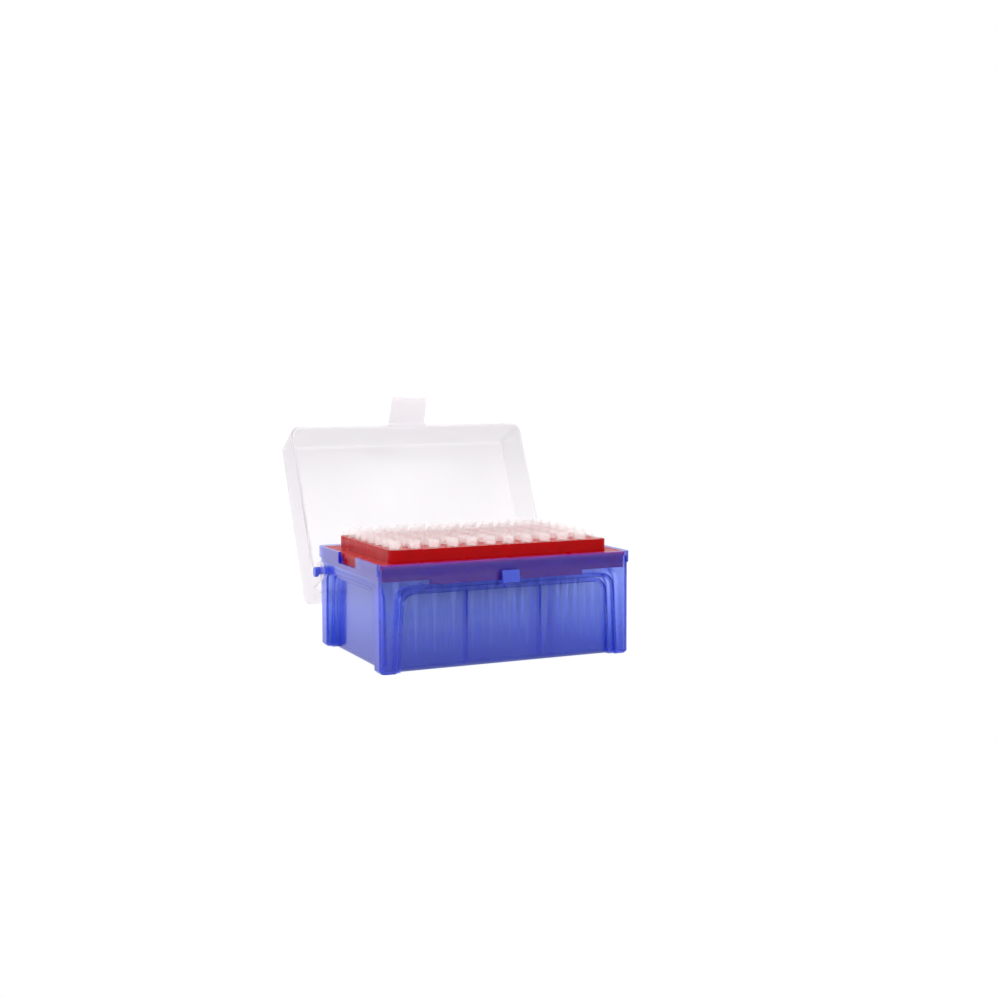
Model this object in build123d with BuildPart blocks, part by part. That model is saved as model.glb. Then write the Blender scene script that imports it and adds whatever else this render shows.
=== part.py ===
"""A hinged box of pipette tips: tub, tip rack, lid, latch tab and ninety-six tips.

The frame: X runs along the box, -Y is the front with the latch, +Y is the hinge side and
+Z is up. The origin is the middle of the footprint, on the surface that the box stands on.
All sizes are in millimetres.
"""

import os
from math import atan, cos, degrees, radians

from build123d import *

# Tip grid
columns = 12
rows = 8
pitch = 9.0

# Tips
tip_length = 50.0
tip_collar_radius = 2.9
tip_collar_height = 3.9
tip_neck_radius = 2.5
tip_end_radius = 0.5
tip_wall = 0.5
tip_end_bore = 0.28
tip_sides = 5  # a round tip drawn with few facets, because there are ninety-six

# Base tub, sized to hold the tips: its walls stand this far outside the grid of tip centres,
# and the tips hang this far over its floor
wall_margin = 10.9
tip_floor_clearance = 4.9
base_wall = 1.4
base_corner = 3.0
floor_thickness = 1.4
foot_chamfer = 1.0

# Rim band round the top of the tub
rim_height = 5.2
rim_step = 0.7
rack_ledge_depth = 2.2
notch_width = 23.2

# Stepped arch panels, sunk into all four sides
panel_step = 2.5
panel_tread = 2.5
panel_drop = 5.9
panel_corner = 5.0
end_post_foot = 7.1
end_post_shoulder = 9.2
side_post_foot = 8.6
side_post_shoulder = 10.6

# Ribs inside the long walls
rib_column_offset = 2
rib_thickness = 1.0
rib_depth = 3.4

# Catch lug on the front
lug_width = 8.2
lug_height = 5.4
lug_reach = 2.2
lug_nose = 1.9
lug_top_reach = 1.0
lug_rib_reach = 0.5
lug_rib_offset = 1.9
lug_rib_thickness = 1.3
lug_rib_drop = 2.4

# Hinge pins
pin_radius = 1.8
pin_reach = 4.8
pin_drop = 11.3
pin_inset = 6.7
pin_lip_thickness = 1.8
pin_lip_drop = 1.1
pin_boss_radius = 2.2
pin_boss_depth = 3.8

# Tip rack
rack_wall = 1.4
rack_flange_thickness = 1.7
rack_clearance = 0.3
rack_skirt_clearance = 0.4
rack_skirt_depth = 5.4
rack_skirt_deep_inset = 23.5
deck_rise = 5.1
deck_margin = 0.6
deck_thickness = 1.6
deck_corner = 3.5
hole_clearance = 0.2

# Lid
lid_wall = 1.2
lid_height = 23.4
lid_gap = 0.3
lid_side_gap = 0.3
lid_front_reach = 0.1
lid_corner = 4.2
lid_edge_round = 2.6
lid_draft = 1.5
lid_rear_relief = 1.0
lid_open_angle = 115.3

# Lid ears, which turn on the pins
ear_radius = 4.2
ear_clearance = 0.08
relief_start = 4.3

# Latch tab on the lid's front
tab_width = 19.8
tab_thickness = 1.2
tab_corner = 1.6
tab_flare = 44.0
tab_root_rise = 2.4
tab_hinge_gap = 0.1
tab_lug_gap = 0.3
tab_hook_height = 1.0
tab_hook_grip = 1.1
tab_bar_height = 2.8

# Places and sizes that follow from the driving dimensions
grid_half_x = (columns - 1) * pitch / 2
grid_half_y = (rows - 1) * pitch / 2
half_length = grid_half_x + wall_margin
half_width = grid_half_y + wall_margin
base_length = 2 * half_length
base_width = 2 * half_width
tip_top = floor_thickness + tip_floor_clearance + tip_length
deck_height = tip_top - tip_collar_height
base_height = deck_height - deck_rise
rim_bottom = base_height - rim_height
ledge_height = base_height - rack_ledge_depth
panel_top = rim_bottom - panel_drop
panel_depth = 2 * panel_step
panel_ledge = panel_top + base_wall
end_foot = half_length - end_post_foot
end_shoulder = half_length - end_post_shoulder
side_foot = half_width - side_post_foot
side_shoulder = half_width - side_post_shoulder
pin_y = half_width - pin_inset
pin_height = base_height - pin_drop
pin_end = half_length + pin_reach
rib_x = rib_column_offset * pitch
lug_bottom = rim_bottom - lug_height
rack_skirt_bottom = ledge_height - rack_skirt_depth
rack_skirt_deep_half = half_length - rack_skirt_deep_inset
skirt_half_x = half_length - base_wall - rack_skirt_clearance
skirt_half_y = half_width - base_wall - rack_skirt_clearance
deck_half_x = grid_half_x + tip_collar_radius + deck_margin
deck_half_y = grid_half_y + tip_collar_radius + deck_margin
deck_wall = deck_margin + tip_collar_radius - tip_neck_radius - 2 * hole_clearance
facet_turn = 180 / tip_sides
flat_share = cos(radians(facet_turn))  # how much nearer a facet's middle lies than its corner
tip_bore_radius = tip_collar_radius - tip_wall
cone_length = tip_length - tip_collar_height
cone_taper = degrees(atan((tip_neck_radius - tip_end_radius) * flat_share / cone_length))
bore_taper = degrees(atan((tip_bore_radius - tip_end_bore) * flat_share / tip_length))
lid_bottom = base_height + lid_gap
lid_half_x = half_length + rim_step + lid_side_gap + lid_wall
lid_half_y = half_width + rim_step + lid_front_reach
tab_inner_y = -half_width - lug_reach - tab_lug_gap
tab_root_y = tab_inner_y - tab_thickness / 2
tab_root_z = lid_bottom + tab_root_rise
tab_hook_top = lug_bottom - tab_lug_gap
tab_bottom = tab_hook_top - tab_hook_height

# One row for each side of the tub: its plane, looking outwards, and its panel's half widths
panel_walls = [
    (Plane((0, -half_width, 0), x_dir=(1, 0, 0), z_dir=(0, -1, 0)), end_foot, end_shoulder),
    (Plane((0, half_width, 0), x_dir=(-1, 0, 0), z_dir=(0, 1, 0)), end_foot, end_shoulder),
    (Plane((-half_length, 0, 0), x_dir=(0, -1, 0), z_dir=(-1, 0, 0)), side_foot, side_shoulder),
    (Plane((half_length, 0, 0), x_dir=(0, 1, 0), z_dir=(1, 0, 0)), side_foot, side_shoulder),
]


def arch(plane, foot, shoulder, top, corner):
    """Draw an arch that stands on the floor, wider at its foot, with rounded shoulders."""
    below = 1.0  # the profile runs past the floor, so that the foot is cut cleanly
    with BuildSketch(plane) as profile:
        with BuildLine():
            Polyline((-foot, -below), (-shoulder, top), (shoulder, top), (foot, -below), close=True)
        make_face()
        fillet(profile.vertices().sort_by(Axis.Y)[-2:], corner)
    return profile.sketch


def export(part, name):
    """Label a finished piece and write its STEP file."""
    part.label = name
    export_step(part, f"parts/{name}.step")


os.makedirs("parts", exist_ok=True)

# ---- Base tub ---------------------------------------------------------------------------
# The room inside the tub: the walls keep one thickness behind the stepped panels.
with BuildPart() as tub_room:
    with BuildSketch(Plane.XY.offset(floor_thickness)):
        RectangleRounded(base_length - 2 * base_wall, base_width - 2 * base_wall, base_corner - base_wall)
    extrude(amount=base_height - floor_thickness)
    for plane, foot, shoulder in panel_walls:
        for step in (1, 2):
            inset = (step - 1) * panel_tread - base_wall
            lining = arch(plane, foot - inset, shoulder - inset, panel_top - inset, panel_corner + base_wall)
            extrude(lining, amount=-(step * panel_step + base_wall), mode=Mode.SUBTRACT)
    with BuildSketch(Plane.XY.offset(ledge_height)):
        RectangleRounded(
            base_length + 2 * (rim_step - base_wall),
            base_width + 2 * (rim_step - base_wall),
            base_corner + rim_step - base_wall,
        )
    extrude(amount=rack_ledge_depth)

with BuildPart() as base:
    with BuildSketch():
        RectangleRounded(base_length, base_width, base_corner)
    extrude(amount=rim_bottom)
    chamfer(base.faces().sort_by(Axis.Z)[0].edges(), foot_chamfer)
    with BuildSketch(Plane.XY.offset(rim_bottom)):
        RectangleRounded(base_length + 2 * rim_step, base_width + 2 * rim_step, base_corner + rim_step)
    extrude(amount=rim_height)
    for plane, foot, shoulder in panel_walls:
        for step in (1, 2):
            inset = (step - 1) * panel_tread
            recess = arch(plane, foot - inset, shoulder - inset, panel_top - inset, panel_corner)
            extrude(recess, amount=-step * panel_step, mode=Mode.SUBTRACT)
    add(tub_room.part, mode=Mode.SUBTRACT)

    # Finger notches in the short sides of the rim
    with Locations((-half_length, 0, rim_bottom), (half_length, 0, rim_bottom)):
        Box(
            2 * (base_wall + 2 * rim_step),
            notch_width,
            rim_height,
            align=(Align.CENTER, Align.CENTER, Align.MIN),
            mode=Mode.SUBTRACT,
        )
    # Ribs that stiffen the long walls from inside
    panel_back = half_width - panel_depth
    with BuildSketch(Plane.XY.offset(floor_thickness)):
        with GridLocations(2 * rib_x, 2 * (panel_back - (base_wall + rib_depth) / 2), 2, 2):
            Rectangle(rib_thickness, base_wall + rib_depth)
    extrude(amount=panel_top - panel_tread - floor_thickness)
    # Catch lug, ramped on top and flat below, with a small rib under it
    with BuildSketch(Plane.YZ):
        with BuildLine():
            Polyline(
                (-half_width + base_wall / 2, lug_bottom),
                (-half_width - lug_reach, lug_bottom),
                (-half_width - lug_reach, lug_bottom + lug_nose),
                (-half_width - lug_top_reach, rim_bottom),
                (-half_width + base_wall / 2, rim_bottom),
                close=True,
            )
        make_face()
    extrude(amount=lug_width / 2, both=True)
    with BuildSketch(Plane.YZ.offset(-lug_rib_offset)):
        with BuildLine():
            Polyline(
                (-half_width - lug_rib_reach, lug_bottom),
                (-half_width + panel_step, lug_bottom),
                (-half_width + panel_step, lug_bottom - lug_rib_drop),
                (-half_width, lug_bottom - lug_rib_drop),
                close=True,
            )
        make_face()
    extrude(amount=lug_rib_thickness / 2, both=True)
    # Hinge pins on the short sides, each with a lip at its end and a boss behind the wall
    with BuildSketch(Plane.YZ.offset(half_length - base_wall - pin_boss_depth)) as pin_boss:
        with Locations((pin_y, pin_height)):
            Circle(pin_boss_radius)
    boss = extrude(amount=pin_boss_depth + base_wall / 2)
    with BuildSketch(Plane.YZ.offset(half_length - base_wall / 2)) as pin_shaft:
        with Locations((pin_y, pin_height)):
            Circle(pin_radius)
    shaft = extrude(amount=base_wall / 2 + pin_reach)
    with BuildSketch(Plane.YZ.offset(pin_end - pin_lip_thickness)) as pin_lip:
        with Locations((pin_y, pin_height - pin_lip_drop / 2)):
            SlotCenterToCenter(pin_lip_drop, 2 * pin_radius, rotation=90)
    lip = extrude(amount=pin_lip_thickness)
    mirror([boss, shaft, lip], about=Plane.YZ)

export(base.part, "base")

# ---- Tip rack ---------------------------------------------------------------------------
with BuildPart() as rack:
    # Flange that rests on the ledge inside the rim
    with BuildSketch(Plane.XY.offset(ledge_height)):
        RectangleRounded(
            base_length + 2 * (rim_step - base_wall - rack_clearance),
            base_width + 2 * (rim_step - base_wall - rack_clearance),
            base_corner + rim_step - base_wall - rack_clearance,
        )
    extrude(amount=rack_flange_thickness)
    # Skirt inside the tub's walls
    skirt_corner = base_corner - base_wall - rack_skirt_clearance
    with BuildSketch(Plane.XY.offset(rack_skirt_bottom)):
        RectangleRounded(2 * skirt_half_x, 2 * skirt_half_y, skirt_corner)
        Rectangle(2 * (skirt_half_x - rack_wall), 2 * (skirt_half_y - rack_wall), mode=Mode.SUBTRACT)
    extrude(amount=ledge_height - rack_skirt_bottom)
    # Deeper stretch of the long skirts, which stands on the ledge over the panels
    with BuildSketch(Plane.XY.offset(panel_ledge)):
        with GridLocations(0, 2 * skirt_half_y - rack_wall, 1, 2):
            Rectangle(2 * rack_skirt_deep_half, rack_wall)
    extrude(amount=rack_skirt_bottom - panel_ledge)
    # Raised deck, hollow below
    with BuildSketch(Plane.XY.offset(ledge_height)):
        RectangleRounded(2 * deck_half_x, 2 * deck_half_y, deck_corner)
    extrude(amount=deck_height - ledge_height)
    with BuildSketch(Plane.XY.offset(ledge_height)):
        RectangleRounded(
            2 * (deck_half_x - deck_wall), 2 * (deck_half_y - deck_wall), deck_corner - deck_wall
        )
    extrude(amount=deck_height - deck_thickness - ledge_height, mode=Mode.SUBTRACT)
    # One hole for each tip
    with BuildSketch(Plane.XY.offset(deck_height)):
        with GridLocations(pitch, pitch, columns, rows):
            RegularPolygon(tip_neck_radius + hole_clearance, tip_sides, rotation=facet_turn)
    extrude(amount=-deck_thickness, mode=Mode.SUBTRACT)

export(rack.part, "rack")

# ---- Lid, drawn closed and then swung open about its pins ---------------------------------
with BuildPart() as closed_lid:
    with BuildSketch(Plane.XY.offset(lid_bottom)):
        RectangleRounded(2 * lid_half_x, 2 * lid_half_y, lid_corner)
    extrude(amount=lid_height, taper=lid_draft)
    fillet(closed_lid.faces().sort_by(Axis.Z)[-1].edges(), lid_edge_round)
    with BuildSketch(Plane.XY.offset(lid_bottom)):
        RectangleRounded(2 * (lid_half_x - lid_wall), 2 * (lid_half_y - lid_wall), lid_corner - lid_wall)
    extrude(amount=lid_height - lid_wall, taper=lid_draft, mode=Mode.SUBTRACT)
    # The rear edge stands a little higher, so that it clears the rim as the lid turns
    with Locations((0, pin_y + relief_start, lid_bottom)):
        Box(
            3 * lid_half_x,
            base_width,
            2 * lid_rear_relief,
            align=(Align.CENTER, Align.MIN, Align.CENTER),
            mode=Mode.SUBTRACT,
        )
    # Ears that hang from the short sides and turn on the pins
    with BuildSketch(Plane.YZ.offset(lid_half_x - lid_wall)):
        with Locations((pin_y, pin_height)):
            Circle(ear_radius)
            Rectangle(
                2 * ear_radius,
                lid_bottom + 2 * lid_rear_relief - pin_height,
                align=(Align.CENTER, Align.MIN),
            )
            Circle(pin_radius + ear_clearance, mode=Mode.SUBTRACT)
    ear = extrude(amount=lid_wall)
    mirror(ear, about=Plane.YZ)
    # Bar on the front, from which the latch tab hangs
    with BuildSketch(Plane.YZ):
        with Locations((tab_inner_y + tab_hinge_gap, tab_root_z)):
            Rectangle(
                -tab_inner_y - tab_hinge_gap - lid_half_y + lid_wall / 2,
                tab_bar_height,
                align=(Align.MIN, Align.CENTER),
            )
    extrude(amount=tab_width / 2, both=True)

with BuildPart() as lid:
    add(closed_lid.part.rotate(Axis((0, pin_y, pin_height), (1, 0, 0)), -lid_open_angle))

export(lid.part, "lid")

# ---- Latch tab, drawn latched, then flared and swung open with the lid ---------------------
with BuildPart() as latched_tab:
    with BuildSketch(Plane.XZ.offset(-tab_inner_y)):
        with Locations((0, tab_bottom)):
            plate = Rectangle(tab_width, tab_root_z - tab_bottom, align=(Align.CENTER, Align.MIN))
        fillet(plate.vertices().sort_by(Axis.Y)[:2], tab_corner)
    extrude(amount=tab_thickness)
    with BuildSketch(Plane.YZ):
        with Locations((tab_root_y, tab_root_z)):
            Circle(tab_thickness / 2)
    extrude(amount=tab_width / 2, both=True)
    # Hook along the free edge, which catches under the lug
    with BuildSketch(Plane.YZ):
        with Locations((tab_root_y, tab_bottom)):
            Rectangle(
                tab_thickness / 2 + tab_lug_gap + tab_hook_grip,
                tab_hook_height,
                align=(Align.MIN, Align.MIN),
            )
    extrude(amount=tab_width / 2 - tab_corner, both=True)

with BuildPart() as latch_tab:
    flared_tab = latched_tab.part.rotate(Axis((0, tab_root_y, tab_root_z), (1, 0, 0)), -tab_flare)
    add(flared_tab.rotate(Axis((0, pin_y, pin_height), (1, 0, 0)), -lid_open_angle))

export(latch_tab.part, "latch_tab")

# ---- Tips -------------------------------------------------------------------------------
# A tip is drawn upside down, mouth on the ground and point up, and turned over where it hangs.
with BuildPart() as tip:
    with BuildSketch():
        RegularPolygon(tip_collar_radius, tip_sides, rotation=facet_turn)
    extrude(amount=tip_collar_height)
    with BuildSketch(Plane.XY.offset(tip_collar_height)):
        RegularPolygon(tip_neck_radius, tip_sides, rotation=facet_turn)
    extrude(amount=cone_length, taper=cone_taper)
    with BuildSketch():
        RegularPolygon(tip_bore_radius, tip_sides, rotation=facet_turn)
    extrude(amount=tip_length, taper=bore_taper, mode=Mode.SUBTRACT)

for column in range(columns):
    column_x = column * pitch - grid_half_x
    rows_y = [row * pitch - grid_half_y for row in range(rows)]
    with BuildPart() as tips_column:
        with Locations(*[Location((column_x, y, tip_top), (180, 0, 0)) for y in rows_y]):
            add(tip.part)
    export(tips_column.part, f"tips_column_{column + 1:02d}")
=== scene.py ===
"""Dressed model of a hinged box of pipette tips, with the studio that shows it.

The moulded tub, the rack, the lid and the latch tab keep their solid shapes and get their plastics
here. The tips are turned as round thin-walled cones, which stand in for the five-sided ones of the
solid model.
"""

import logging
import math
from dataclasses import dataclass
from enum import Enum

import bmesh
import bpy
from mathutils import Euler, Matrix, Vector

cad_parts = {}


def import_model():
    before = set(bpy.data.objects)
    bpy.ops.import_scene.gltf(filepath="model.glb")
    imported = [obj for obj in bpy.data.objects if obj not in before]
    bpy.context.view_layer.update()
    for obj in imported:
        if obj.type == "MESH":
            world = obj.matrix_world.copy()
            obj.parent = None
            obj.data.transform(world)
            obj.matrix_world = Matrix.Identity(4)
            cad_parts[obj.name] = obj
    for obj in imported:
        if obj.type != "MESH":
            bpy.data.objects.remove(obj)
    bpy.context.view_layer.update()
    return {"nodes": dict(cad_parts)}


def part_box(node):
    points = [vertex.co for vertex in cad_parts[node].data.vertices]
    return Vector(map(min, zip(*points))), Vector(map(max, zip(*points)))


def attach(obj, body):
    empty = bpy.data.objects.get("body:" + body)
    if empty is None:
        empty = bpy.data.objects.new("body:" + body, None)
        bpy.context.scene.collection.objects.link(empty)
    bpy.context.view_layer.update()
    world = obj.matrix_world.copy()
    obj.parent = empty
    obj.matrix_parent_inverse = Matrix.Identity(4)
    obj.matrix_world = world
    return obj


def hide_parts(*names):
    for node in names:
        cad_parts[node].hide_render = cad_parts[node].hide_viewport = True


MM = 0.001
WHITE = "#FFFFFF"
# Most of a noise texture's values lie between these two, so a pattern is stretched from one to the
# other
NOISE_LOW = 0.3
NOISE_HIGH = 0.7
# Numbered sockets of a Mix node that is set to colours
MIX_SHARE = 0
MIX_FIRST = 6
MIX_SECOND = 7
MIX_RESULT = 2

log = logging.getLogger("pipette_tip_box")


class Solid(Enum):
    """The nodes that keep their solid shape."""

    BASE = "base"
    RACK = "rack"
    LID = "lid"
    LATCH_TAB = "latch_tab"


def linear(hex_colour: str) -> tuple[float, float, float, float]:
    """Turns an sRGB hex colour into the linear values that shaders take.

    Args:
        hex_colour: Six hex digits, with a leading hash.

    Returns:
        Red, green, blue and an alpha of 1, all linear.
    """
    digits = hex_colour.lstrip("#")
    channels = [int(digits[i : i + 2], 16) / 255 for i in (0, 2, 4)]
    scaled = [c / 12.92 if c <= 0.04045 else ((c + 0.055) / 1.055) ** 2.4 for c in channels]
    return (scaled[0], scaled[1], scaled[2], 1.0)


def add_node(
    tree: bpy.types.NodeTree,
    kind: str,
    settings: dict[str, object] | None = None,
    inputs: dict[str | int, object] | None = None,
) -> bpy.types.Node:
    """Adds one shader node, with its settings, its values and its links.

    Args:
        tree: The node tree that takes the node.
        kind: The node's type name, such as ShaderNodeTexNoise.
        settings: Attributes of the node itself.
        inputs: Values or output sockets for the node's inputs, by name or number.

    Returns:
        The new node.
    """
    node = tree.nodes.new(kind)
    for name, value in (settings or {}).items():
        setattr(node, name, value)
    for key, value in (inputs or {}).items():
        if isinstance(value, bpy.types.NodeSocket):
            tree.links.new(value, node.inputs[key])
        else:
            node.inputs[key].default_value = value
    return node


@dataclass(frozen=True)
class MouldedPlastic:
    """A plastic as it leaves an injection mould, with a smooth skin and faint flow marks.

    Attributes:
        name: The real material and how it was made.
        tint: Colour of the skin.
        flow_tint: Colour along the flow marks, where the pigment lies thicker.
        clearness: Share of the light that goes through the skin rather than scattering on it.
        roughness: Middle roughness of the skin.
        flow_mm: Width of one flow mark.
        flow_stretch: How much longer than wide the flow marks run, along X, Y and Z.
        skin_mm: Distance between the low waves of the moulded skin.
        skin_depth_mm: Height of those waves.
        flow_detail: Layers of noise in the flow marks.
        flow_grain: How strongly each finer layer shows.
        skin_detail: Layers of noise in the waves.
        gloss_drift: How far the roughness drifts each way over the surface. Clear walls keep it at
            0, because an uneven roughness breaks up what is seen through them.
        mirror: Strength of the skin's own reflection, 0.5 for a polished one.
        ior: Index of refraction. A thin hazy wall bends less of what lies behind it than a solid
            block, so clear walls take less than the 1.49 of polypropylene.
        glaze: Weight of the glossy outermost skin that a polished mould leaves.
        glaze_roughness: Roughness of that outermost skin.
        haze: Weight of the milky haze that the pigment lays over the skin.
        haze_tint: Colour of that haze.
        haze_roughness: How widely the haze spreads.
        body_tint: Colour that light keeps on its way through the plastic.
        body_density: How strongly the plastic dims that light, per metre. At 0 only the skin
            tints it.
        outer_from: Axes, each with the distance in millimetres from the middle past which the
            outermost parts of the piece begin.
        outer_tint: Colour of those parts.
        outer_clearness: Clearness of those parts.
        painted_foot_shade: Painted shade, a darker colour given to the skin low down,
            where less light gets in.
        painted_shade_full_mm: Height up to which the skin keeps the full painted shade.
        painted_shade_fade_mm: Height at which the painted shade has faded into the skin's own
            colour.
            At 0 no shade is painted at the foot.
    """

    name: str
    tint: str
    flow_tint: str
    clearness: float
    roughness: float
    flow_mm: float
    flow_stretch: tuple[float, float, float]
    skin_mm: float
    skin_depth_mm: float
    flow_detail: float = 3.0
    flow_grain: float = 0.55
    skin_detail: float = 2.0
    gloss_drift: float = 0.0
    mirror: float = 0.5
    ior: float = 1.49
    glaze: float = 0.0
    glaze_roughness: float = 0.1
    haze: float = 0.0
    haze_tint: str = WHITE
    haze_roughness: float = 1.0
    body_tint: str = WHITE
    body_density: float = 0.0
    outer_from: tuple[tuple[str, float], ...] = ()
    outer_tint: str = WHITE
    outer_clearness: float = 0.0
    painted_foot_shade: str = WHITE
    painted_shade_full_mm: float = 0.0
    painted_shade_fade_mm: float = 0.0

    def flow(
        self, tree: bpy.types.NodeTree, place: bpy.types.NodeSocket
    ) -> bpy.types.NodeSocket:
        """Adds the noise of the flow marks.

        Args:
            tree: The material's node tree.
            place: Object coordinates.

        Returns:
            A socket with a noise from 0 to 1.
        """
        stretched = add_node(
            tree,
            "ShaderNodeMapping",
            {"vector_type": "POINT"},
            {"Vector": place, "Scale": [1 / s for s in self.flow_stretch]},
        )
        marks = add_node(
            tree,
            "ShaderNodeTexNoise",
            None,
            {
                "Vector": stretched.outputs["Vector"],
                "Scale": 1 / (self.flow_mm * MM),
                "Detail": self.flow_detail,
                "Roughness": self.flow_grain,
            },
        )
        return marks.outputs["Fac"]

    def outer(
        self, tree: bpy.types.NodeTree, parts: bpy.types.Node
    ) -> bpy.types.NodeSocket:
        """Adds the test for the outermost parts of the piece.

        Args:
            tree: The material's node tree.
            parts: The node that holds the object coordinates axis by axis.

        Returns:
            A socket that is 1 on those parts and 0 on the rest.
        """
        found = None
        for axis, distance in self.outer_from:
            away = add_node(
                tree, "ShaderNodeMath", {"operation": "ABSOLUTE"}, {0: parts.outputs[axis]}
            )
            past = add_node(
                tree,
                "ShaderNodeMath",
                {"operation": "GREATER_THAN"},
                {0: away.outputs[0], 1: distance * MM},
            ).outputs[0]
            if found is None:
                found = past
                continue
            either = add_node(
                tree, "ShaderNodeMath", {"operation": "MAXIMUM"}, {0: found, 1: past}
            )
            found = either.outputs[0]
        return found

    def skin_colour(
        self,
        tree: bpy.types.NodeTree,
        parts: bpy.types.Node,
        flow: bpy.types.NodeSocket,
    ) -> bpy.types.NodeSocket:
        """Adds the colour of the walls, from the flow marks to the painted shade at the foot.

        Args:
            tree: The material's node tree.
            parts: The node that holds the object coordinates axis by axis.
            flow: Noise of the flow marks.

        Returns:
            A colour socket.
        """
        marked = add_node(
            tree,
            "ShaderNodeMapRange",
            None,
            {"Value": flow, "From Min": NOISE_LOW, "From Max": NOISE_HIGH},
        )
        walls = add_node(
            tree,
            "ShaderNodeMix",
            {"data_type": "RGBA"},
            {
                MIX_SHARE: marked.outputs["Result"],
                MIX_FIRST: linear(self.tint),
                MIX_SECOND: linear(self.flow_tint),
            },
        )
        if self.painted_shade_fade_mm <= 0:
            return walls.outputs[MIX_RESULT]
        # Painted shade: a darker colour is mixed in low down and fades out between the two heights
        unshaded_share = add_node(
            tree,
            "ShaderNodeMapRange",
            {"interpolation_type": "SMOOTHSTEP"},
            {
                "Value": parts.outputs["Z"],
                "From Min": self.painted_shade_full_mm * MM,
                "From Max": self.painted_shade_fade_mm * MM,
            },
        )
        shaded_walls = add_node(
            tree,
            "ShaderNodeMix",
            {"data_type": "RGBA"},
            {
                MIX_SHARE: unshaded_share.outputs["Result"],
                MIX_FIRST: linear(self.painted_foot_shade),
                MIX_SECOND: walls.outputs[MIX_RESULT],
            },
        )
        return shaded_walls.outputs[MIX_RESULT]

    def gloss(
        self, tree: bpy.types.NodeTree, flow: bpy.types.NodeSocket
    ) -> bpy.types.NodeSocket | float:
        """Adds the roughness, which drifts with the flow marks where the plastic isn't clear.

        Args:
            tree: The material's node tree.
            flow: Noise of the flow marks.

        Returns:
            A roughness socket, or a plain number where the roughness is even.
        """
        if self.gloss_drift <= 0:
            return self.roughness
        drifting = add_node(
            tree,
            "ShaderNodeMapRange",
            None,
            {
                "Value": flow,
                "From Min": NOISE_LOW,
                "From Max": NOISE_HIGH,
                "To Min": self.roughness - self.gloss_drift,
                "To Max": self.roughness + self.gloss_drift,
            },
        )
        return drifting.outputs["Result"]

    def waves(
        self, tree: bpy.types.NodeTree, place: bpy.types.NodeSocket
    ) -> bpy.types.NodeSocket:
        """Adds the low waves of the moulded skin.

        Args:
            tree: The material's node tree.
            place: Object coordinates.

        Returns:
            A normal socket.
        """
        skin = add_node(
            tree,
            "ShaderNodeTexNoise",
            None,
            {"Vector": place, "Scale": 1 / (self.skin_mm * MM), "Detail": self.skin_detail},
        )
        bump = add_node(
            tree,
            "ShaderNodeBump",
            None,
            {
                "Height": skin.outputs["Fac"],
                "Strength": 1.0,
                "Distance": self.skin_depth_mm * MM,
            },
        )
        return bump.outputs["Normal"]

    def material(self) -> bpy.types.Material:
        """Builds the material from Object coordinates.

        Returns:
            The finished material.
        """
        material = bpy.data.materials.new(self.name)
        material.use_nodes = True
        tree = material.node_tree
        tree.nodes.clear()
        place = add_node(tree, "ShaderNodeTexCoord").outputs["Object"]
        parts = add_node(tree, "ShaderNodeSeparateXYZ", None, {"Vector": place})
        flow = self.flow(tree, place)
        colour = self.skin_colour(tree, parts, flow)
        clearness = self.clearness
        if self.outer_from:
            outer = self.outer(tree, parts)
            colour = add_node(
                tree,
                "ShaderNodeMix",
                {"data_type": "RGBA"},
                {MIX_SHARE: outer, MIX_FIRST: colour, MIX_SECOND: linear(self.outer_tint)},
            ).outputs[MIX_RESULT]
            if self.outer_clearness != self.clearness:
                clearness = add_node(
                    tree,
                    "ShaderNodeMapRange",
                    None,
                    {"Value": outer, "To Min": self.clearness, "To Max": self.outer_clearness},
                ).outputs["Result"]
        shader = add_node(
            tree,
            "ShaderNodeBsdfPrincipled",
            None,
            {
                "Base Color": colour,
                "Roughness": self.gloss(tree, flow),
                "Normal": self.waves(tree, place),
                "IOR": self.ior,
                "Specular IOR Level": self.mirror,
                "Coat Weight": self.glaze,
                "Coat Roughness": self.glaze_roughness,
                "Sheen Weight": self.haze,
                "Sheen Roughness": self.haze_roughness,
                "Sheen Tint": linear(self.haze_tint),
                "Transmission Weight": clearness,
            },
        )
        ends = {"Surface": shader.outputs["BSDF"]}
        if self.body_density > 0:
            body = add_node(
                tree,
                "ShaderNodeVolumeAbsorption",
                None,
                {"Color": linear(self.body_tint), "Density": self.body_density},
            )
            ends["Volume"] = body.outputs["Volume"]
        add_node(tree, "ShaderNodeOutputMaterial", None, ends)
        return material


# Blue polypropylene, moulded about 1.4 mm thick: a deep milky blue that dims what lies behind it.
# The solid catch lug and hinge pins stand out past the walls and let less light through. Towards
# the bottom the walls get a painted shade, a darker skin colour that fades out by 38 mm.
TUB_PLASTIC = MouldedPlastic(
    name="blue_polypropylene_moulded",
    tint="#F3FBFF",
    flow_tint="#EDF6FE",
    clearness=1.0,
    roughness=0.24,
    flow_mm=9.0,
    flow_stretch=(1.0, 1.0, 6.0),
    skin_mm=7.0,
    skin_depth_mm=0.02,
    ior=1.2,
    glaze=0.78,
    haze=0.26,
    haze_tint="#0038FF",
    body_tint="#547EFA",
    body_density=236.0,
    outer_from=(("X", 61.2), ("Y", 43.2)),
    outer_tint="#6678EC",
    outer_clearness=0.4,
    # Painted shade: the walls are darker towards the bottom, fading out by 38 mm
    painted_foot_shade="#AABEE8",
    painted_shade_fade_mm=38.0,
)
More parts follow.
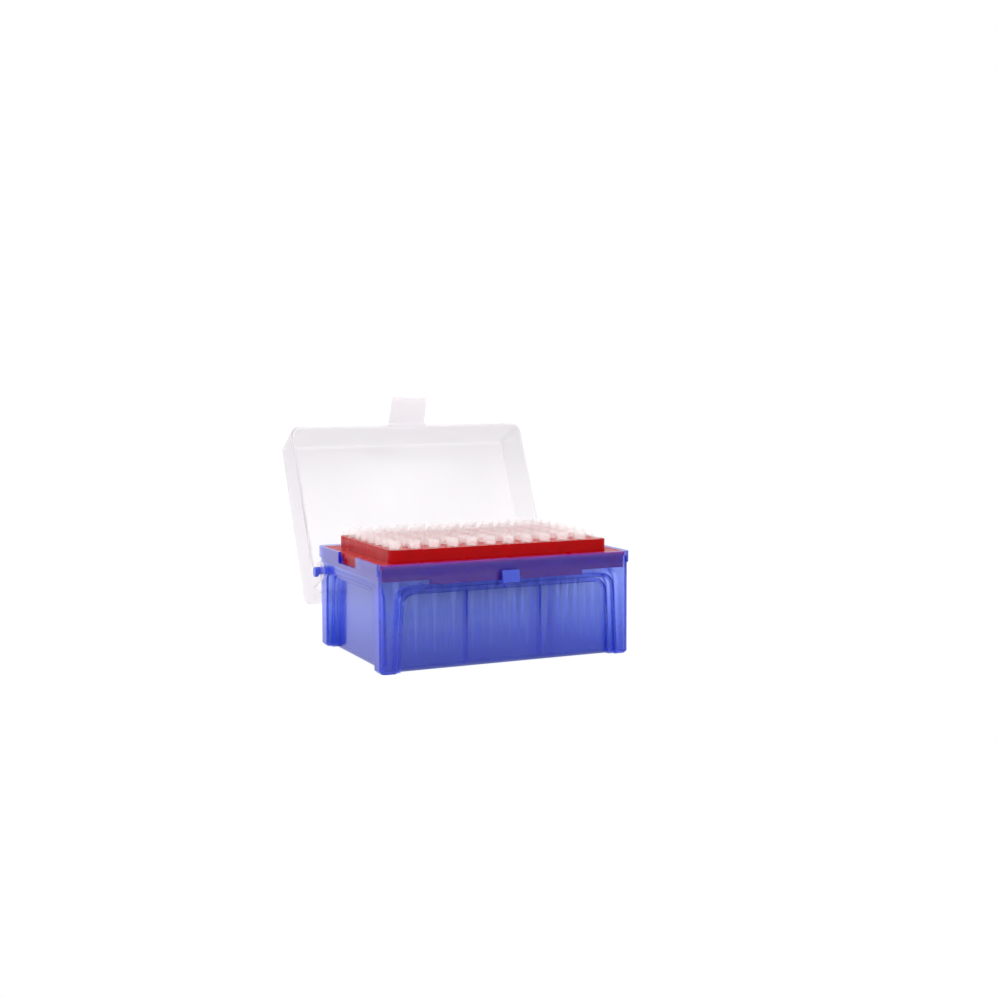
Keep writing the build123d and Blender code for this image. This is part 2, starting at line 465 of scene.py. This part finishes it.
# Red polypropylene, moulded opaque: a strong even red with a satin skin. The long skirts stand in
# the shade of the tub's rim and get a painted shade, a dark red below the deck's top, while the
# two ends are left without it and stay red in the finger notches.
RACK_PLASTIC = MouldedPlastic(
    name="red_polypropylene_moulded",
    tint="#BA0B0F",
    flow_tint="#AE090D",
    clearness=0.0,
    roughness=0.3,
    flow_mm=6.0,
    flow_stretch=(1.0, 1.0, 1.0),
    skin_mm=5.0,
    skin_depth_mm=0.02,
    gloss_drift=0.05,
    mirror=0.09,
    # The two ends are left out of the painted shade on the skirts
    outer_from=(("X", 58.55),),
    outer_tint="#AA050B",
    # Painted shade: the skirts below 45.6 mm are painted dark red, fading to the plain red by 46.8
    # mm
    painted_foot_shade="#700203",
    painted_shade_full_mm=45.6,
    painted_shade_fade_mm=46.8,
)
# Natural polypropylene, moulded about 1.2 mm thick: nearly colourless, with a cold milky haze
LID_PLASTIC = MouldedPlastic(
    name="natural_polypropylene_moulded",
    tint="#F3F0F3",
    flow_tint="#F1EEF1",
    clearness=0.98,
    roughness=0.30,
    flow_mm=14.0,
    flow_stretch=(1.0, 1.0, 3.0),
    skin_mm=12.0,
    skin_depth_mm=0.03,
    ior=1.05,
    glaze=0.3,
)
# The same plastic in the latch tab, whose thicker plate holds a little more haze
LATCH_PLASTIC = MouldedPlastic(
    name="natural_polypropylene_latch",
    tint="#FDFAFD",
    flow_tint="#FAF7FB",
    clearness=0.85,
    roughness=0.30,
    flow_mm=8.0,
    flow_stretch=(1.0, 1.0, 2.0),
    skin_mm=8.0,
    skin_depth_mm=0.02,
    ior=1.15,
    glaze=0.5,
)
# Clear polypropylene, moulded about 0.5 mm thick in a polished mould: the red deck shows through
# the collars as a pale pink
TIP_PLASTIC = MouldedPlastic(
    name="clear_polypropylene_moulded",
    tint=WHITE,
    flow_tint="#FEFEFE",
    clearness=0.85,
    roughness=0.2,
    flow_mm=4.0,
    flow_stretch=(1.0, 1.0, 4.0),
    skin_mm=3.0,
    skin_depth_mm=0.01,
    ior=1.03,
    glaze=0.3,
)


@dataclass
class Shell:
    """One moulded piece that keeps its solid shape and only gets its finish.

    Attributes:
        solid: The solid node.
        finish: The plastic it is moulded in.
    """

    solid: Solid
    finish: MouldedPlastic

    def build(self, nodes: dict[str, bpy.types.Object]) -> None:
        """Gives every material slot of the node its plastic.

        Args:
            nodes: The loaded nodes by name.
        """
        node = nodes[self.solid.value]
        material = self.finish.material()
        if not node.material_slots:
            node.data.materials.append(material)
        for slot in node.material_slots:
            slot.material = material
        log.info("dressed %s in %s", self.solid.value, self.finish.name)


@dataclass
class TipColumns:
    """The tips: thin cones with a collar, twelve columns that hang in the deck.

    Attributes:
        columns: How many columns stand along X.
        rows: How many tips each column has along Y.
        pitch: Distance between neighbours.
        collar_radius: Outer radius of the collar.
        collar_height: Height of the collar above the deck.
        neck_radius: Outer radius where the cone enters the deck.
        wall: Thickness of the collar's wall.
        point_radius: Outer radius at the point.
        outlet_radius: Radius of the bore at the point.
        lip: Rounding of the collar's edges.
        sides: Steps of the turn.
        smooth_under: Edges that turn by less than this many radians are shaded smooth.
        body: The rigid body that the tips ride on.
        slot: Name of a material slot for the tips; not used.
        finish: The plastic they are moulded in.
    """

    columns: int = 12
    rows: int = 8
    pitch: float = 9.0 * MM
    collar_radius: float = 2.9 * MM
    collar_height: float = 3.9 * MM
    neck_radius: float = 2.45 * MM
    wall: float = 0.5 * MM
    point_radius: float = 0.5 * MM
    outlet_radius: float = 0.28 * MM
    lip: float = 0.18 * MM
    sides: int = 20
    smooth_under: float = math.radians(40)
    body: str = "tub"
    slot: str = "tip_plastic"
    finish: MouldedPlastic = TIP_PLASTIC

    def profile(self, top: float, bottom: float) -> list[Vector]:
        """Lists the corners of a tip's wall, from the mouth round to the mouth again.

        Args:
            top: Height of the mouth.
            bottom: Height of the point.

        Returns:
            Points in the XZ plane, in order.
        """
        deck = top - self.collar_height
        mouth = self.collar_radius - self.wall
        return [
            Vector((mouth, 0, top - self.lip)),
            Vector((mouth + self.lip, 0, top)),
            Vector((self.collar_radius - self.lip, 0, top)),
            Vector((self.collar_radius, 0, top - self.lip)),
            Vector((self.collar_radius, 0, deck + self.lip)),
            Vector((self.collar_radius - self.lip, 0, deck)),
            Vector((self.neck_radius, 0, deck)),
            Vector((self.point_radius, 0, bottom)),
            Vector((self.outlet_radius, 0, bottom)),
        ]

    def column(self, number: int, material: bpy.types.Material) -> bpy.types.Object:
        """Turns one column of tips.

        Args:
            number: The column's number, from 1.
            material: The plastic.

        Returns:
            The finished piece.
        """
        node = f"tips_column_{number:02d}"
        low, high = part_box(node)
        mesh = bmesh.new()
        corners = [mesh.verts.new(point) for point in self.profile(high.z, low.z)]
        edges = [mesh.edges.new(pair) for pair in zip(corners, corners[1:] + corners[:1])]
        bmesh.ops.spin(
            mesh,
            geom=corners + edges,
            cent=(0, 0, 0),
            axis=(0, 0, 1),
            angle=math.tau,
            steps=self.sides,
            use_merge=True,
        )
        bmesh.ops.recalc_face_normals(mesh, faces=mesh.faces)
        first = list(mesh.verts) + list(mesh.edges) + list(mesh.faces)
        column_x = (number - (self.columns + 1) / 2) * self.pitch
        start = Vector((column_x, -(self.rows - 1) / 2 * self.pitch, 0))
        bmesh.ops.translate(mesh, verts=mesh.verts, vec=start)
        for row in range(1, self.rows):
            copy = bmesh.ops.duplicate(mesh, geom=first)["geom"]
            moved = [part for part in copy if isinstance(part, bmesh.types.BMVert)]
            bmesh.ops.translate(mesh, verts=moved, vec=(0, row * self.pitch, 0))
        piece = finished(mesh, f"{node}_round", material, self.smooth_under)
        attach(piece, self.body)
        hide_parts(node)
        return piece

    def build(self) -> None:
        """Turns every column of tips."""
        material = self.finish.material()
        for number in range(1, self.columns + 1):
            piece = self.column(number, material)
            log.info("built %s with %d faces", piece.name, len(piece.data.polygons))


def finished(
    mesh: bmesh.types.BMesh, name: str, material: bpy.types.Material, smooth_under: float
) -> bpy.types.Object:
    """Turns a bmesh into an object at the origin, with its finish and its shading.

    Args:
        mesh: The shape, which is freed.
        name: The piece's name.
        material: The piece's finish.
        smooth_under: Edges that turn by less than this many radians are shaded smooth.

    Returns:
        The object, linked to the scene.
    """
    data = bpy.data.meshes.new(name)
    for face in mesh.faces:
        face.smooth = True
    for edge in mesh.edges:
        if len(edge.link_faces) == 2:
            edge.smooth = edge.calc_face_angle() < smooth_under
    mesh.to_mesh(data)
    mesh.free()
    data.materials.append(material)
    piece = bpy.data.objects.new(name, data)
    bpy.context.scene.collection.objects.link(piece)
    return piece


@dataclass(frozen=True)
class SoftLamp:
    """One square soft lamp that faces the box.

    Attributes:
        name: The lamp's name.
        place: Where it hangs, in metres.
        size: Side of its square.
        watts: Its power.
    """

    name: str
    place: tuple[float, float, float]
    size: float
    watts: float

    def hang(self) -> None:
        """Hangs the lamp and turns it to the box."""
        data = bpy.data.lights.new(self.name, "AREA")
        data.shape = "SQUARE"
        data.size = self.size
        data.energy = self.watts
        lamp = bpy.data.objects.new(self.name, data)
        place = Vector(self.place)
        lamp.location = place
        lamp.rotation_euler = (-place).to_track_quat("-Z", "Y").to_euler()
        bpy.context.scene.collection.objects.link(lamp)


@dataclass
class Studio:
    """A white table top and a white surround, lit by large soft lamps.

    Attributes:
        floor_size: Side of the table top.
        floor_squares: Into how many squares each side of the table top is cut.
        front_edge: Where the table top ends towards the viewer, along Y.
        room_start: Y of the direction in which the surround begins to go over to the room behind
            the viewer.
        room_full: Y of the direction in which it has wholly gone over to that room.
        surround_level: Strength of the surround where it is seen, directly or through plastic.
        dim_level: Strength of the room behind the viewer, as glossy skins show it.
        front_level: Strength of the broad front light, as it reaches in through clear plastic.
        ambient_level: Strength of the surround as a light.
        glow: Light of its own that the table top shows to the eye.
        glow_through: Share of that look which is left behind clear plastic, where shade counts
            more.
        table_tint: Colour of the table top as it lights the box.
        shade_tint: Colour of the table top that takes the shadow which the eye sees.
        lamps: The soft lamps.
    """

    floor_size: float = 6.0
    floor_squares: int = 8
    front_edge: float = -0.16
    room_start: float = 0.0
    room_full: float = -0.6
    surround_level: float = 1.0
    dim_level: float = 0.08
    front_level: float = 2.7
    ambient_level: float = 0.9
    glow: float = 0.86
    glow_through: float = 0.0
    table_tint: str = "#F2F2F2"
    shade_tint: str = "#8A8A8A"
    lamps: tuple[SoftLamp, ...] = (
        SoftLamp("softbox_key", (-0.9, -0.9, 1.3), 1.2, 4.0),
        SoftLamp("softbox_fill", (1.1, -0.7, 0.9), 1.0, 2.0),
        SoftLamp("softbox_back", (-0.9, 1.7, 0.5), 0.9, 6.0),
        SoftLamp("softbox_top", (0.1, 0.3, 1.6), 1.2, 6.0),
        SoftLamp("flash", (0.42, -0.65, 0.91), 0.13, 0.15),
    )

    def seen(self, tree: bpy.types.NodeTree, through: float) -> bpy.types.NodeSocket:
        """Adds the test for rays that look at a surface rather than gather its light.

        Args:
            tree: The node tree that takes the test.
            through: Result for rays that look through clear plastic.

        Returns:
            A socket that is 1 for camera and glossy rays, the given share for rays through clear
            plastic, and 0 for rays that gather light.
        """
        path = add_node(tree, "ShaderNodeLightPath")
        direct = add_node(
            tree,
            "ShaderNodeMath",
            {"operation": "MAXIMUM"},
            {0: path.outputs["Is Camera Ray"], 1: path.outputs["Is Glossy Ray"]},
        )
        behind = add_node(
            tree,
            "ShaderNodeMapRange",
            None,
            {
                "Value": path.outputs["Is Transmission Ray"],
                "To Min": direct.outputs[0],
                "To Max": through,
            },
        )
        return behind.outputs["Result"]

    def surround(self) -> None:
        """Makes the world: white where it is seen, and set by the kind of ray where it isn't."""
        world = bpy.data.worlds.new("white_surround")
        world.use_nodes = True
        tree = world.node_tree
        tree.nodes.clear()
        place = add_node(tree, "ShaderNodeTexCoord")
        parts = add_node(
            tree, "ShaderNodeSeparateXYZ", None, {"Vector": place.outputs["Generated"]}
        )
        path = add_node(tree, "ShaderNodeLightPath")
        mirrored, through = (
            add_node(
                tree,
                "ShaderNodeMapRange",
                None,
                {
                    "Value": parts.outputs["Y"],
                    "From Min": self.room_full,
                    "From Max": self.room_start,
                    "To Min": level,
                    "To Max": self.surround_level,
                },
            ).outputs["Result"]
            for level in (self.dim_level, self.front_level)
        )
        bent = add_node(
            tree,
            "ShaderNodeMapRange",
            None,
            {
                "Value": path.outputs["Is Transmission Ray"],
                "To Min": mirrored,
                "To Max": through,
            },
        )
        looked = add_node(
            tree,
            "ShaderNodeMapRange",
            None,
            {
                "Value": path.outputs["Is Camera Ray"],
                "To Min": bent.outputs["Result"],
                "To Max": self.surround_level,
            },
        )
        level = add_node(
            tree,
            "ShaderNodeMapRange",
            None,
            {
                "Value": self.seen(tree, through=1.0),
                "To Min": self.ambient_level,
                "To Max": looked.outputs["Result"],
            },
        )
        sky = add_node(
            tree,
            "ShaderNodeBackground",
            None,
            {"Color": linear(WHITE), "Strength": level.outputs["Result"]},
        )
        add_node(tree, "ShaderNodeOutputWorld", None, {"Surface": sky.outputs["Background"]})
        bpy.context.scene.world = world

    def laminate(self) -> bpy.types.Material:
        """Makes the table top's finish, which looks white and still takes a faint shadow.

        Returns:
            The finished material.
        """
        material = bpy.data.materials.new("white_table_laminate")
        material.use_nodes = True
        tree = material.node_tree
        tree.nodes.clear()
        light = add_node(tree, "ShaderNodeBsdfDiffuse", None, {"Color": linear(self.table_tint)})
        shade = add_node(tree, "ShaderNodeBsdfDiffuse", None, {"Color": linear(self.shade_tint)})
        glow = add_node(
            tree, "ShaderNodeEmission", None, {"Color": linear(WHITE), "Strength": self.glow}
        )
        shown = add_node(
            tree, "ShaderNodeAddShader", None, {0: shade.outputs[0], 1: glow.outputs[0]}
        )
        mix = add_node(
            tree,
            "ShaderNodeMixShader",
            None,
            {
                0: self.seen(tree, through=self.glow_through),
                1: light.outputs[0],
                2: shown.outputs[0],
            },
        )
        add_node(tree, "ShaderNodeOutputMaterial", None, {"Surface": mix.outputs[0]})
        return material

    def table(self) -> None:
        """Lays the table top under the box."""
        mesh = bmesh.new()
        bmesh.ops.create_grid(
            mesh,
            x_segments=self.floor_squares,
            y_segments=self.floor_squares,
            size=self.floor_size / 2,
        )
        middle = Vector((0, self.front_edge + self.floor_size / 2, 0))
        bmesh.ops.translate(mesh, verts=mesh.verts, vec=middle)
        floor = finished(mesh, "table_top", self.laminate(), smooth_under=0.0)

    def build(self) -> None:
        """Builds the surround, the table top and the lamps."""
        self.surround()
        self.table()
        for lamp in self.lamps:
            lamp.hang()
        log.info("built the studio")


@dataclass
class StudioCamera:
    """The camera, a little above the box and to the left of its front.

    Attributes:
        place: Where the lens stands.
        turn: Degrees that it looks to the right of the +Y direction.
        down: Degrees that it looks down.
        roll: Degrees that it is rolled about its own axis.
        lens: Focal length in millimetres.
        sensor: Width of the frame in millimetres.
        nearest: Distance from the lens at which things begin to show.
    """

    place: tuple[float, float, float] = (-265.7 * MM, -612.5 * MM, 126.2 * MM)
    turn: float = 24.571
    down: float = 4.808
    roll: float = -0.256
    lens: float = 51.94
    sensor: float = 36.0
    nearest: float = 10 * MM

    def build(self) -> None:
        """Sets up the camera and makes it the scene's own."""
        data = bpy.data.cameras.new("studio_camera")
        data.lens = self.lens
        data.sensor_width = self.sensor
        data.clip_start = self.nearest
        camera = bpy.data.objects.new("studio_camera", data)
        turned = Euler((math.radians(90 - self.down), 0, math.radians(-self.turn))).to_matrix()
        rolled = turned @ Matrix.Rotation(math.radians(self.roll), 3, "Z")
        camera.matrix_world = Matrix.Translation(self.place) @ rolled.to_4x4()
        bpy.context.scene.collection.objects.link(camera)
        bpy.context.scene.camera = camera
        log.info("built the camera")


def main() -> None:
    """Builds the pieces, the studio and the camera in order."""
    logging.basicConfig(level=logging.INFO, format="%(name)s: %(message)s")
    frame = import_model()
    scene = bpy.context.scene
    scene.view_settings.view_transform = "Standard"
    Shell(Solid.BASE, TUB_PLASTIC).build(frame["nodes"])
    Shell(Solid.RACK, RACK_PLASTIC).build(frame["nodes"])
    Shell(Solid.LID, LID_PLASTIC).build(frame["nodes"])
    Shell(Solid.LATCH_TAB, LATCH_PLASTIC).build(frame["nodes"])
    TipColumns().build()
    Studio().build()
    StudioCamera().build()


if __name__ == "__main__":
    main()
